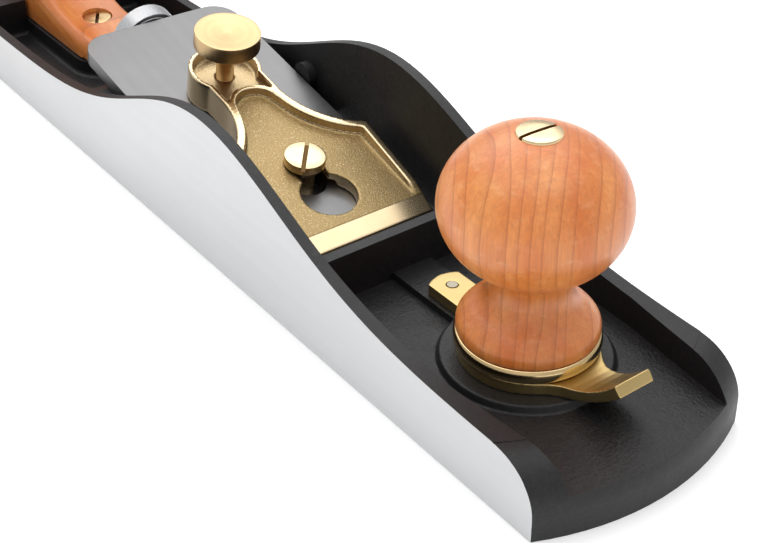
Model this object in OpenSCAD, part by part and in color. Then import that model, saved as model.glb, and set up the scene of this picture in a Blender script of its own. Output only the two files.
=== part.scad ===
// Low-angle bevel-up jack plane.
// +X points to the toe, +Z is up, and the sole lies on Z = 0 with the origin at mid length.
// Pieces on the blade bed are drawn in a tilted frame: s runs up the bed from the mouth,
// and h is the height square to the bed.

/* [Casting] */
// Length of the body, heel to toe
body_l = 355.6; // [335:0.2:427]
// Width over the ground sides
body_w = 63.5; // [61:0.5:78]
// Thickness of each side wall
wall_t = 3.2; // [2.8:0.1:4.6]
// Thickness of each side wall beside the knob
tray_wall_t = 4; // [3.2:0.1:5]
// Thickness of each side wall at the toe end
toe_wall_t = 7.5; // [5:0.1:9]
// Thickness of the sole in the rear tray
sole_t = 5; // [4:0.5:7]
// Rise of the toe and heel arcs over the body width
end_sag = 7.5; // [4:0.5:12]
// Radius that rounds the top edge of the toe and heel
end_round = 11.5; // [6:0.5:13]
// Height of the low rim
rim_h = 17.6; // [16.5:0.1:20]
// Height of the cheeks beside the lever cap
cheek_h = 43.2; // [36:0.2:50]
// Place of the cheeks' crest along the body
cheek_x = 38.8; // [30:0.2:45]
// Spread of the cheeks' bell-shaped outline
cheek_spread = 52; // [44:0.5:58]
// Height of the floor in the toe tray
toe_floor = 10; // [9:0.5:11]
// Height of the machined platform under the mouth lever
platform_h = 11.95; // [11:0.05:12.3]
// Thickness of the cross rib ahead of the mouth
rib_t = 3.1; // [2.5:0.1:4]
// Height of the cross rib
rib_h = 23; // [20:0.5:26]

/* [Bed and blade] */
// Place of the mouth along the body
mouth_x = 84; // [78:0.5:88]
// Angle of the blade bed
bed_angle = 12; // [11:0.5:13]
// Length of the front bed ramp
bed_len = 72; // [64:1:76]
// Width of the blade
blade_w = 50.8; // [42:0.2:51.4]
// Thickness of the blade
blade_t = 4.45; // [3.5:0.05:5.35]
// Length of the blade
blade_l = 130.7; // [128:0.1:136]
// Angle ground on the top of the cutting edge
bevel_angle = 25; // [20:1:35]
// Distance the cutting edge stands back from the sole, along the bed
blade_set = 0.4; // [0.3:0.1:1]

/* [Adjustable mouth] */
// Width of the sliding toe plate
plate_w = 52; // [51.6:0.1:53]
// Length of the sliding toe plate
plate_l = 66; // [58:1:68]
// Thickness of the sliding toe plate
plate_t = 4.5; // [4:0.1:5]
// Opening of the mouth at rest
mouth_gap = 2; // [1.9:0.1:3]
// Travel of the toe plate each way from rest
mouth_travel = 1.8; // [1:0.1:1.8]
// Swing of the mouth lever each way from rest, in degrees
lever_swing = 12; // [8:1:12]
// Thickness of the mouth lever
lever_t = 3; // [2.8:0.1:3.6]
// Distance from the lever's pin to the knob's axis
lever_arm = 27.7; // [26:0.1:33.2]
// Radius of the lever's pivot pin
pin_r = 1.4; // [1.2:0.1:2.5]

/* [Front knob] */
// Place of the knob's axis along the body
knob_x = 132.3; // [128:0.1:134]
// Widest radius of the knob
knob_r = 22.1; // [19:0.1:23]
// Half the height of the knob's ball
ball_half_h = 18.2; // [16:0.1:19]
// Height of the ball's centre above the sole
ball_z = 51.9; // [50:0.1:56]
// Radius of the knob's waist
waist_r = 9.5; // [9:0.1:12]
// Radius of the knob's foot
foot_r = 16.9; // [15:0.1:17.2]
// Radius of the brass ferrule
ferrule_r = 17.5; // [17:0.1:18.5]
// Thickness of the brass ferrule
ferrule_t = 3.7; // [2.8:0.1:4]
// Radius of the knob's threaded stud
stud_r = 3; // [2.5:0.1:3.6]

/* [Lever cap] */
// Width of the lever cap at its front
cap_w = 48; // [40:0.5:50]
// Place of the cap's front edge up the bed
cap_front = 18.3; // [16:0.1:22]
// Radius of the cap screw's head
cap_screw_r = 5.8; // [5:0.1:7]
// Place of the cap screw up the bed
cap_screw_s = 47.3; // [45:0.1:50]
// Radius of the keyhole's large hole
key_r = 7.8; // [7.2:0.1:8.8]
// Distance from the cap screw forward to the keyhole's large hole
key_slide = 12.5; // [11:0.1:13]
// Place of the thumbscrew up the bed
thumb_s = 89.6; // [87:0.1:92]
// Radius of the thumbwheel
thumb_r = 9.5; // [8:0.1:10.5]
// Height of the thumbwheel's top above the blade
thumb_top = 22.4; // [21:0.1:26]

/* [Adjuster] */
// Radius of the adjuster wheel
wheel_r = 10.5; // [9:0.1:11]
// Width of the adjuster wheel
wheel_t = 6; // [4:0.1:7]
// Place of the wheel's front face up the bed
wheel_s = 132; // [131.6:0.1:133]
// Depth of the adjuster's axis below the bed
wheel_drop = 4.5; // [4.2:0.1:5]
// Radius of the adjuster's threaded stud
adj_r = 2.8; // [2:0.1:3]

/* [Rear handle] */
// Width of the handle
tote_w = 24; // [20:0.5:27]
// Length of the handle's base
tote_l = 90; // [80:1:92]
// Height of the handle above its pad
tote_h = 90; // [80:1:100]
// Place of the handle's toe along the body
tote_toe_x = -63; // [-68:0.5:-62]
// Height of the pad under the handle
pad_h = 10; // [9:0.5:11]
// Forward lean of the handle's rod, in degrees
rod_lean = 14; // [11:0.5:16]
// Radius of the handle's rod
rod_r = 2.8; // [2:0.1:3.2]

/* [Fits] */
// Radial clearance of a shaft that turns in a hole
run_gap = 0.05; // [0.03:0.01:0.1]
// Clearance between flat faces that slide
slide_gap = 0.05; // [0.03:0.01:0.1]
// Radial clearance of a fixed rod in its hole
fixed_gap = 0.3; // [0.2:0.05:0.4]

/* [Hidden] */

round_fn = 96;
through = 1;                       // how far a cut runs past a face
// casting
inner_w = body_w - 2 * wall_t;
end_r = (body_w * body_w / 4 + end_sag * end_sag) / (2 * end_sag);
toe_corner_x = body_l / 2 - end_sag;
profile_step = 4;                  // spacing of the points along the cheeks' outline
rib_x0 = mouth_x + 1.2;
rib_x1 = rib_x0 + rib_t;
lip = 0.8;                         // flat behind the mouth where the bed would run to nothing
platform_r = 20.5;                 // top of the round platform under the mouth lever
platform_draft = 1.1;              // how much wider the platform is at its foot
tail_platform_w = 12;
taper_x = knob_x + 6;              // where the side walls start to thicken to the toe
web_l = 22;                        // web across the casting beside the handle
web_x1 = -112;
nub_r = 4;                         // cast guides beside the blade
nub_gap = 0.35;
nub_x = 0;
nub_z = 22.5;
// bed
bar_s0 = 104;                      // crossbar under the blade's rear
bar_l = 12.5;
bar_x1 = mouth_x - bar_s0 * cos(bed_angle);
bar_x0 = bar_x1 - bar_l * cos(bed_angle);
ramp_x0 = mouth_x - bed_len * cos(bed_angle);
blade_top = slide_gap + blade_t;
blade_round = 8;
blade_slot_w = 10;
blade_slot_front = 7.8;            // slot's reach ahead of and behind the cap screw's axis
blade_slot_rear = 12;
// adjuster
flange_r = 6.3;
flange_t = 2.2;
flange_s = 124.8;
flange_gap = 0.1;
wheel_neck_r = 4.2;
adj_stud_s0 = bar_s0 + 2.5;
adj_stud_s1 = 141;
// adjustable mouth
post_r = 6.9;
post_top = platform_h - 0.3;
lever_z0 = platform_h + slide_gap;
lever_z1 = lever_z0 + lever_t;
ring_r = 16.6;
tail_w = 9.6;
tail_back = 5.2;
tail_end_r = 7.5;
pin_x = knob_x - lever_arm;
cam_gain = mouth_travel / lever_swing;   // millimetres of plate travel per degree of lever
cam_tilt = atan(cam_gain * 180 / PI / lever_arm);
cam_gap = 0.15;
cam_steps = 12;
finger_reach = 31.6;               // from the knob's axis to the finger's front
finger_rise = lever_t + 6;         // finger's top above the lever's underside
finger_end_h = 2.5;                // height and slant of the finger's end face
finger_slant = 1.7;
// the arm's curl: distance outside the ring, and rise above the level plate
curl_under = [[1.4, 0], [3.9, 0.2], [6.4, 0.9], [8.9, 2], [11.4, 3.5], [13.4, 5]];
curl_top = [[11.4, 4.1], [9.4, 2.5], [7.4, 1.3], [5.4, 0.5], [3.4, 0.1], [1.4, 0]];
// front knob
nut_head_r = 5.3;
ferrule_z0 = lever_z1 + slide_gap;
ferrule_z1 = ferrule_z0 + ferrule_t;
knob_z0 = ferrule_z1 + slide_gap;
knob_flat_a = acos(nut_head_r / knob_r);           // where the nut cuts the ball flat
knob_z1 = ball_z + ball_half_h * sin(knob_flat_a);
nut_sink = 0.8;
knob_nut_z = knob_z1 - nut_sink;
nut_head_t = 1.6;
nut_r = 4.3;
nut_l = 20;
stud_z0 = 1.5;
head_gap = 0.1;                    // clearance round a sunk screw head
slot_w = 1.3;                      // screwdriver slots
slot_d = 1.3;
knob_slot_turn = -3;
cap_slot_turn = 51;
neck_cove = 4;                     // how far the cove under the ball reaches out from the waist
neck_drop = 0.6;                   // length of the cove down the waist, as a share of its reach
ball_a0 = -acos((waist_r + neck_cove) / knob_r);
ball_low = [knob_r * cos(ball_a0), ball_z + ball_half_h * sin(ball_a0)];
cove_corner = [waist_r, ball_low[1] + neck_cove * ball_half_h * cos(ball_a0) / (knob_r * sin(ball_a0))];
cove_start = cove_corner - [0, neck_drop * neck_cove];
// the foot's outline: share of the way from the waist's radius to the foot's, and of the way
// from the foot's underside up to the cove
foot_shape = [[0.96, 0], [1, 0.04], [1, 0.15], [0.95, 0.235], [0.8, 0.335], [0.6, 0.43], [0.39, 0.51],
    [0.22, 0.61], [0.08, 0.75], [0.01, 0.9]];
cove_steps = 6;
ball_steps = 24;
// lever cap
cap_h0 = blade_top + slide_gap;
cap_s1 = 52;                       // end of the full width
neck_w = 17.6;
neck_s = 76;                       // start of the parallel neck
cap_boss_r = 10.6;
cap_rim = 2.6;
cap_sweep_r = (pow(neck_s - cap_s1, 2) + pow((cap_w - neck_w) / 2, 2)) / (cap_w - neck_w);
field_s1 = 78;
field_end_r = neck_w / 2 - cap_rim;   // round rear end of the field
ridge_w = 1.8;                     // ridge between the field and the thumbscrew's pocket
pocket_wall = 1.4;
// heights above the cap's underside at places s up the bed: rim, sunk field, hollow underside
cap_rim_line = [[cap_front, 0.7], [28.4, 4.85], [cap_s1, 8.2], [neck_s, 9.6], [thumb_s + cap_boss_r, 10]];
cap_field_line = [[cap_front - 1, 2.5], [cap_s1, 5.1], [field_s1, 6.7]];
cap_hollow_line = [[27, -1], [30, 1.4], [neck_s, 3.2], [thumb_s - 8, 3.2], [thumb_s - 6, -1]];
pocket_z = 6.5;
screw_shank_r = 3.4;
// underside of the screw's head above the blade, just clear of the field's highest point under it
screw_seat = lookup(cap_screw_s + cap_screw_r, cap_field_line) + 2 * slide_gap;
screw_head_t = 2.8;
screw_depth = 6.5;
key_gap = 0.6;                     // room round the screw in the keyhole's narrow end
thumb_t = 5;
thumb_collar_r = 4.4;
thumb_collar_t = 1.6;
stem_r = 2.6;
stem_foot_h = 0.1;
// rear handle
tote_heel_x = tote_toe_x - tote_l;
channel_gap = 1;
tote_screw_x = tote_toe_x - 21;
tote_screw_top = 8.2;              // height of the toe's top at its screw
tote_head_r = 4.6;
tote_head_t = 2.6;
tote_shank_r = 2.4;
rod_x = tote_heel_x + 21;          // where the rod's axis meets the pad
rod_end = 6;                       // depth of the rod below the pad, along its axis
rod_top = (tote_h - 6) / cos(rod_lean);  // outer face of the rod's nut, along the axis
tote_nut_r = 6;
tote_nut_t = 3;
tote_barrel_r = 4.3;
tote_barrel_l = 16;
tote_barrel_z = rod_top - tote_nut_t - tote_barrel_l;
tote_thread_l = 11;
hole_bottom = 2;                   // metal left under the screw holes in the casting

// ---------- frames and helpers ----------

// A child drawn with -X up the bed and Z square to it, moved s up the bed and h above it.
module on_bed(s = 0, h = 0) {
    translate([mouth_x, 0, 0]) rotate([0, bed_angle, 0]) translate([-s, 0, h]) children();
}

// A side-view outline, given as X and Z, made w thick about the centre plane.
module side_slab(w) {
    rotate([90, 0, 0]) linear_extrude(height = w, center = true) children();
}

module disc(r, t, z = 0) {
    translate([0, 0, z]) cylinder(r = r, h = t, $fn = round_fn);
}

// A screwdriver slot cut down from height z.
module driver_slot(z, l) {
    translate([-slot_w / 2, -l / 2, z - slot_d]) cube([slot_w, l, slot_d + through]);
}

// Height of the side walls at a place x along the body.
function wall_top(x) = rim_h + (cheek_h - rim_h) * exp(-pow((x - cheek_x) / cheek_spread, 2));

// Height of the bed at a place x along the body.
function bed_z(x) = (mouth_x - x) * tan(bed_angle);

// A point on a smooth curve through p1 and p2, shaped by their neighbours p0 and p3.
function curve_point(p0, p1, p2, p3, t) =
    0.5 * (2 * p1 + (p2 - p0) * t + (2 * p0 - 5 * p1 + 4 * p2 - p3) * t * t
    + (3 * p1 - p0 - 3 * p2 + p3) * t * t * t);

// A closed smooth curve through all the points, with n steps between each pair.
function smooth_loop(pts, n) = [
    for (i = [0 : len(pts) - 1]) for (k = [0 : n - 1])
        curve_point(pts[(i - 1 + len(pts)) % len(pts)], pts[i],
            pts[(i + 1) % len(pts)], pts[(i + 2) % len(pts)], k / n)
];

// ---------- body casting ----------

module body_plan() {
    square([2 * toe_corner_x, body_w], center = true);
    for (end = [-1, 1]) intersection() {
        square([body_l, body_w], center = true);
        translate([end * (body_l / 2 - end_r), 0]) circle(r = end_r, $fn = round_fn);
    }
}

module wall_outline() {
    n = round(body_l / profile_step);
    polygon(concat(
        [[body_l / 2, 0], [-body_l / 2, 0]],
        [for (i = [0 : n]) [body_l * (i / n - 0.5), wall_top(body_l * (i / n - 0.5))]]
    ));
}

// What is cut away to round the top edge of the toe.
module end_rounding() {
    intersection() {
        translate([body_l / 2 - end_r, 0, 0]) rotate_extrude($fn = round_fn) difference() {
            translate([end_r - end_round, rim_h - end_round]) square([end_round + through, 4 * end_round]);
            translate([end_r - end_round, rim_h - end_round]) circle(r = end_round, $fn = round_fn);
        }
        translate([toe_corner_x - 2 * end_round, -body_w, 0]) cube([4 * end_round, 2 * body_w, 2 * cheek_h]);
    }
}

module toe_tray() {
    translate([0, 0, toe_floor]) linear_extrude(height = cheek_h) polygon([
        [rib_x1, -inner_w / 2], [taper_x, tray_wall_t - body_w / 2],
        [toe_corner_x, toe_wall_t - body_w / 2], [body_l / 2 + through, toe_wall_t - body_w / 2],
        [body_l / 2 + through, body_w / 2 - toe_wall_t], [toe_corner_x, body_w / 2 - toe_wall_t],
        [taper_x, body_w / 2 - tray_wall_t], [rib_x1, inner_w / 2]
    ]);
}

module platform() {
    t = platform_h - toe_floor + through;
    translate([knob_x, 0, toe_floor - through])
        cylinder(r1 = platform_r + platform_draft, r2 = platform_r, h = t, $fn = round_fn);
    translate([rib_x1 - through, -tail_platform_w / 2, toe_floor - through])
        cube([knob_x - rib_x1 + through, tail_platform_w, t]);
}

// Space over the bed, between the rib and the heel, down to the sole of the rear tray.
module rear_void() {
    top = cheek_h + through;
    side_slab(inner_w) polygon([
        [rib_x1 + through, top], [rib_x1 + through, rib_h], [rib_x0, rib_h], [rib_x0, plate_t + slide_gap],
        [mouth_x - (plate_t + slide_gap) / tan(bed_angle), plate_t + slide_gap],
        [ramp_x0, bed_z(ramp_x0)], [ramp_x0, sole_t],
        [bar_x1, sole_t], [bar_x1, bed_z(bar_x1)],
        [bar_x0, bed_z(bar_x0)], [bar_x0, sole_t],
        [web_x1, sole_t], [web_x1, top]
    ]);
    heel_x = wall_t - body_l / 2;
    difference() {
        translate([heel_x, -inner_w / 2, sole_t]) cube([web_x1 - web_l - heel_x, inner_w, top]);
        difference() {
            translate([heel_x - through, -body_w / 2, 0]) cube([2 * end_r, body_w, top + sole_t]);
            translate([end_r - body_l / 2, 0, 0]) disc(end_r - wall_t, 2 * top);
        }
    }
}

// The mouth below the rear void: a slot through the sole as wide as the toe plate.
module mouth_slot() {
    z1 = plate_t + slide_gap;
    side_slab(plate_w - 2 * slide_gap) polygon([
        [rib_x0 + through, z1], [rib_x0 + through, -through], [mouth_x - lip, -through],
        [mouth_x - lip, bed_z(mouth_x - lip)], [mouth_x - z1 / tan(bed_angle), z1]
    ]);
}

module plate_recess() {
    l = plate_l + mouth_gap + mouth_travel + 1.2;
    translate([mouth_x, -plate_w / 2 - slide_gap, -through])
        cube([l, plate_w + 2 * slide_gap, plate_t + slide_gap + through]);
}

module post_slot() {
    r = post_r + run_gap;
    half = mouth_travel + 0.2;
    for (side = [-1, 1]) translate([knob_x + side * half, 0, plate_t - through]) disc(r, platform_h);
    translate([knob_x - half, -r, plate_t - through]) cube([2 * half, 2 * r, platform_h]);
}

module tote_pad() {
    half = tote_w / 2 + channel_gap;
    translate([tote_heel_x, -half, sole_t - through])
        cube([tote_l - half, 2 * half, pad_h - sole_t + through]);
    translate([tote_toe_x - half, 0, sole_t - through]) disc(half, pad_h - sole_t + through);
}

module tote_channel() {
    half = tote_w / 2 + channel_gap;
    translate([web_x1 - web_l - through, -half, pad_h]) cube([web_l + 2 * through, 2 * half, rim_h]);
}

module body_casting() {
    color("#3a3a3c") difference() {
        union() {
            difference() {
                intersection() {
                    linear_extrude(height = cheek_h + through) body_plan();
                    side_slab(body_w + through) wall_outline();
                }
                end_rounding();
                mirror([1, 0, 0]) end_rounding();
                toe_tray();
                rear_void();
            }
            platform();
            tote_pad();
            for (side = [-1, 1]) guide_nub(side);
        }
        mouth_slot();
        plate_recess();
        post_slot();
        tote_channel();
        translate([pin_x, 0, plate_t + 0.8]) disc(pin_r, platform_h);
        on_bed(cap_screw_s, -screw_depth) disc(screw_shank_r, screw_depth + through);
        on_bed(adj_stud_s0, -wheel_drop) rotate([0, -90, 0]) disc(adj_r, bar_l + 4);
        translate([tote_screw_x, 0, hole_bottom]) disc(tote_shank_r, pad_h);
        translate([rod_x, 0, pad_h]) rotate([0, rod_lean, 0]) disc(rod_r, rod_end + through, -rod_end);
    }
}

// A cast bump that keeps the blade central.
module guide_nub(side) {
    reach = (inner_w - blade_w) / 2 - nub_gap;
    translate([nub_x, side * (inner_w / 2 + through), nub_z]) rotate([side * 90, 0, 0])
        disc(nub_r, reach + through);
}

// ---------- adjustable mouth ----------

module mouth_plate() {
    x0 = mouth_x + mouth_gap;
    color("#c9cbcd") difference() {
        union() {
            translate([x0, -plate_w / 2, 0]) cube([plate_l, plate_w, plate_t]);
            translate([knob_x, 0, 0]) disc(post_r, post_top);
        }
        translate([knob_x, 0, stud_z0]) disc(stud_r, post_top);
        // relief behind the mouth, so that shavings rise freely
        side_slab(plate_w + through) polygon([
            [x0 - through, 1.5], [x0, 1.5], [x0 + 1.2, plate_t], [x0 + 1.2, plate_t + through],
            [x0 - through, plate_t + through]
        ]);
    }
}

// Slot that drives the toe plate: its distance from the pin grows evenly with the angle.
module cam_slot() {
    half = (stud_r + cam_gap) / cos(cam_tilt);
    end_a = lever_swing + asin((stud_r + cam_gap) / (lever_arm - mouth_travel)) + 0.5;
    function at(i, off) =
        let(a = end_a * (2 * i / cam_steps - 1), r = lever_arm - cam_gain * a + off)
        [r * cos(a), r * sin(a)];
    polygon(concat(
        [for (i = [0 : cam_steps]) at(i, half)],
        [for (i = [0 : cam_steps]) at(cam_steps - i, -half)]
    ));
}

// Plan of the lever with the knob's axis at the origin.
module lever_plan() {
    circle(r = ring_r, $fn = round_fn);
    translate([tail_end_r - lever_arm - tail_back, 0]) intersection() {
        union() {
            circle(r = tail_end_r, $fn = round_fn);
            translate([0, -tail_w / 2]) square([lever_arm - ring_r / 2, tail_w]);
        }
        translate([-tail_end_r, -tail_w / 2]) square([lever_arm, tail_w]);
    }
    polygon([[11, -12.4], [13.5, -9.9], [15.2, -7.6], [17.5, -5.6], [20.5, -4.1], [24, -2.9], [28, -1.9],
        [finger_reach, -1.2], [finger_reach, 9.2], [24, 8.2], [21, 7.7], [18.6, 7.7],
        [16.4, 8.7], [14.3, 10.3], [11, 12.4]]);
}

module mouth_lever() {
    color("#c9a24a") translate([knob_x, 0, lever_z0]) difference() {
        intersection() {
            linear_extrude(height = finger_rise) lever_plan();
            // side view: level plate that curls up at the finger
            side_slab(4 * ring_r) polygon(concat(
                [[-2 * lever_arm, 0]],
                [for (p = curl_under) [ring_r + p[0], p[1]]],
                [[finger_reach, finger_rise - finger_end_h], [finger_reach - finger_slant, finger_rise]],
                [for (p = curl_top) [ring_r + p[0], lever_t + p[1]]],
                [[-2 * lever_arm, lever_t]]
            ));
        }
        translate([-lever_arm, 0, -through]) linear_extrude(height = lever_t + 2 * through) cam_slot();
        translate([-lever_arm, 0, 0]) disc(pin_r + run_gap, lever_t + 2 * through, -through);
    }
}

module lever_pivot_pin() {
    z0 = plate_t + 0.8;
    color("#b4b6b8") translate([pin_x, 0, z0]) disc(pin_r, lever_z1 + 0.1 - z0);
}

// ---------- front knob ----------

module knob_stud() {
    color("#a8aaac") translate([knob_x, 0, stud_z0]) disc(stud_r, knob_nut_z - 7 - stud_z0);
}

module knob_ferrule() {
    bead = ferrule_t / 2;
    color("#cfa84f") translate([knob_x, 0, ferrule_z0]) difference() {
        union() {
            disc(ferrule_r - bead, ferrule_t);
            rotate_extrude($fn = round_fn) translate([ferrule_r - bead, bead]) circle(r = bead, $fn = 32);
        }
        disc(stud_r + run_gap, ferrule_t + 2 * through, -through);
    }
}

// Half outline of the knob: foot, waist, cove, then the ball as part of an ellipse.
function knob_outline() =
    concat(
        [[0, knob_z0]],
        [for (p = foot_shape)
            [waist_r + (foot_r - waist_r) * p[0], knob_z0 + (cove_start[1] - knob_z0) * p[1]]],
        [for (k = [0 : cove_steps - 1]) let(t = k / cove_steps)
            (1 - t) * (1 - t) * cove_start + 2 * t * (1 - t) * cove_corner + t * t * ball_low],
        [for (k = [0 : ball_steps]) let(a = ball_a0 + (knob_flat_a - ball_a0) * k / ball_steps)
            [knob_r * cos(a), ball_z + ball_half_h * sin(a)]],
        [[0, knob_z1]]
    );

module front_knob() {
    color("#d98f5a") translate([knob_x, 0, 0]) difference() {
        rotate_extrude($fn = round_fn) polygon(knob_outline());
        disc(stud_r + fixed_gap, knob_z1, knob_z0 - through);
        disc(nut_r + fixed_gap, nut_l + through, knob_nut_z - nut_l);
        disc(nut_head_r + head_gap, 2 * nut_head_t, knob_nut_z);
    }
}

module knob_nut() {
    color("#d0a850") translate([knob_x, 0, 0]) difference() {
        union() {
            disc(nut_r, nut_l, knob_nut_z - nut_l);
            disc(nut_head_r, nut_head_t, knob_nut_z);
        }
        disc(stud_r + run_gap, nut_l - 4 + through, knob_nut_z - nut_l - through);
        rotate([0, 0, knob_slot_turn]) driver_slot(knob_nut_z + nut_head_t, 2 * nut_head_r + through);
    }
}

// ---------- blade and its adjuster ----------

module blade() {
    bevel_l = blade_t / tan(bevel_angle);
    rear = blade_set + blade_l;
    color("#a9acaf") on_bed(0, slide_gap) difference() {
        intersection() {
            side_slab(blade_w) polygon([
                [-blade_set, 0], [-rear, 0], [-rear, blade_t], [-blade_set - bevel_l, blade_t]
            ]);
            linear_extrude(height = blade_t) union() {
                translate([blade_round - rear, -blade_w / 2]) square([blade_l, blade_w]);
                translate([-rear, blade_round - blade_w / 2]) square([blade_l, blade_w - 2 * blade_round]);
                for (side = [-1, 1]) translate([blade_round - rear, side * (blade_w / 2 - blade_round)])
                    circle(r = blade_round, $fn = round_fn);
            }
        }
        blade_slot();
        // groove in the underside for the adjuster's flange
        translate([-flange_s - flange_t - flange_gap, -flange_r, -through])
            cube([flange_t + 2 * flange_gap, 2 * flange_r, through + flange_r - wheel_drop + 0.4]);
    }
}

module blade_slot() {
    r = blade_slot_w / 2;
    s0 = cap_screw_s - blade_slot_front + r;
    s1 = cap_screw_s + blade_slot_rear - r;
    for (s = [s0, s1]) translate([-s, 0, 0]) disc(r, blade_t + 2 * through, -through);
    translate([-s1, -r, -through]) cube([s1 - s0, 2 * r, blade_t + 2 * through]);
}

module adjuster_stud() {
    color("#9fa1a3") on_bed(adj_stud_s0, -wheel_drop) rotate([0, -90, 0])
        disc(adj_r, adj_stud_s1 - adj_stud_s0);
}

module adjuster_wheel() {
    color("#bfc1c3") on_bed(flange_s, -wheel_drop) rotate([0, -90, 0]) difference() {
        union() {
            disc(flange_r, flange_t);
            disc(wheel_neck_r, wheel_s - flange_s);
            disc(wheel_r, wheel_t, wheel_s - flange_s);
        }
        disc(adj_r + run_gap, wheel_s + wheel_t, -through);
    }
}

// ---------- lever cap ----------

module cap_plan(inset = 0) {
    half = cap_w / 2 - inset;
    difference() {
        union() {
            translate([-cap_s1 + inset, -half]) square([cap_s1 - cap_front - 2 * inset, 2 * half]);
            translate([-neck_s, -half]) square([neck_s - cap_s1 + 2 * inset, 2 * half]);
            translate([-thumb_s, inset - neck_w / 2]) square([thumb_s - neck_s + 1, neck_w - 2 * inset]);
            translate([-thumb_s, 0]) circle(r = cap_boss_r - inset, $fn = round_fn);
        }
        for (side = [-1, 1]) translate([-neck_s, side * (neck_w / 2 + cap_sweep_r)])
            circle(r = cap_sweep_r + inset, $fn = round_fn);
    }
}

// A slab across the cap between the heights of line and the level z.
module cap_slab(line, w, z) {
    side_slab(w) polygon(concat(
        [for (p = line) [-p[0], p[1]]],
        [[-line[len(line) - 1][0], z], [-line[0][0], z]]
    ));
}

module lever_cap() {
    tall = 2 * cap_boss_r;
    color("#c8a04c") on_bed(0, cap_h0) difference() {
        intersection() {
            linear_extrude(height = tall) cap_plan();
            cap_slab(cap_rim_line, cap_w + through, 0);
        }
        intersection() {
            linear_extrude(height = tall) field_plan();
            cap_slab(cap_field_line, cap_w, tall);
        }
        translate([0, 0, pocket_z]) linear_extrude(height = tall) pocket_plan();
        cap_slab(cap_hollow_line, neck_w - 2 * cap_rim, -through);
        keyhole(tall);
        translate([-thumb_s, 0, -through]) disc(stem_r + run_gap, tall);
    }
}

module field_plan() {
    intersection() {
        cap_plan(cap_rim);
        union() {
            translate([field_end_r - field_s1, -cap_w])
                square([field_s1 - field_end_r - cap_front, 2 * cap_w]);
            translate([field_end_r - field_s1, 0]) circle(r = field_end_r, $fn = round_fn);
        }
    }
}

// Basin round the thumbscrew, behind the ridge that closes the field.
module pocket_plan() {
    difference() {
        intersection() {
            cap_plan(pocket_wall);
            translate([-thumb_s - cap_boss_r, -cap_w]) square([thumb_s + cap_boss_r - neck_s + 2, 2 * cap_w]);
        }
        translate([field_end_r - field_s1, 0]) circle(r = field_end_r + ridge_w, $fn = round_fn);
    }
}

module keyhole(tall) {
    r = screw_shank_r + key_gap;
    s1 = cap_screw_s;
    s0 = cap_screw_s - key_slide;
    translate([-s0, 0, -through]) disc(key_r, tall);
    translate([-s1, 0, -through]) disc(r, tall);
    translate([-s1, -r, -through]) cube([s1 - s0, 2 * r, tall]);
}

module cap_thumbwheel() {
    top = blade_top + thumb_top;
    foot = top - thumb_t - thumb_collar_t;
    color("#cfab58") on_bed(thumb_s, 0) difference() {
        union() {
            disc(thumb_r, thumb_t, top - thumb_t);
            disc(thumb_collar_r, thumb_collar_t, foot);
        }
        disc(stem_r + run_gap, thumb_collar_t + thumb_t / 2 + through, foot - through);
    }
}

module thumbwheel_stem() {
    z0 = blade_top + stem_foot_h;
    z1 = blade_top + thumb_top - thumb_t / 2 - slide_gap;
    color("#b8923e") on_bed(thumb_s, 0) disc(stem_r, z1 - z0, z0);
}

module lever_cap_screw() {
    seat = blade_top + screw_seat;
    color("#cda552") on_bed(cap_screw_s, 0) difference() {
        union() {
            disc(screw_shank_r, seat + screw_depth, -screw_depth);
            disc(cap_screw_r, screw_head_t, seat);
        }
        rotate([0, 0, cap_slot_turn]) driver_slot(seat + screw_head_t, 2 * cap_screw_r + through);
    }
}

// ---------- rear handle ----------

// Side outline of the grip above its base, as shares of tote_l and tote_h.
tote_shape = [
    [0.02, 0], [0.30, 0], [0.62, 0], [0.97, 0], [1, 0.035], [0.94, 0.075], [0.80, 0.09], [0.66, 0.115],
    [0.545, 0.19], [0.49, 0.33], [0.52, 0.50], [0.60, 0.66], [0.69, 0.80], [0.70, 0.88],
    [0.62, 0.955], [0.46, 0.99], [0.28, 0.985], [0.10, 0.935], [-0.01, 0.885], [0.02, 0.835],
    [0.13, 0.77], [0.185, 0.64], [0.185, 0.48], [0.14, 0.28], [0.06, 0.10]
];

module rear_handle() {
    pts = [for (p = tote_shape) [tote_heel_x + tote_l * p[0], pad_h + tote_h * p[1]]];
    color("#d58a52") difference() {
        intersection() {
            side_slab(tote_w) polygon(smooth_loop(pts, 4));
            union() {
                translate([tote_heel_x - tote_w, -tote_w / 2, pad_h])
                    cube([tote_l + tote_w / 2, tote_w, 2 * tote_h]);
                translate([tote_toe_x - tote_w / 2, 0, pad_h]) disc(tote_w / 2, 2 * tote_h);
            }
        }
        translate([tote_screw_x, 0, pad_h]) {
            disc(tote_shank_r + fixed_gap, tote_h / 4, -through);
            disc(tote_head_r + fixed_gap, tote_h / 4, tote_screw_top - tote_head_t);
        }
        translate([rod_x, 0, pad_h]) rotate([0, rod_lean, 0]) {
            disc(rod_r + fixed_gap, rod_top + rod_end, -rod_end);
            disc(tote_barrel_r + fixed_gap, tote_barrel_l + through, tote_barrel_z);
            disc(tote_nut_r + fixed_gap, tote_h, rod_top - tote_nut_t);
        }
    }
}

module handle_rod() {
    color("#a8aaac") translate([rod_x, 0, pad_h]) rotate([0, rod_lean, 0])
        disc(rod_r, tote_barrel_z + tote_thread_l + rod_end, -rod_end);
}

module handle_nut() {
    color("#d0a850") translate([rod_x, 0, pad_h]) rotate([0, rod_lean, 0]) difference() {
        union() {
            disc(tote_barrel_r, tote_barrel_l, tote_barrel_z);
            disc(tote_nut_r, tote_nut_t, rod_top - tote_nut_t);
        }
        disc(rod_r, tote_thread_l + through, tote_barrel_z - through);
        driver_slot(rod_top, 2 * tote_nut_r + through);
    }
}

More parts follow.
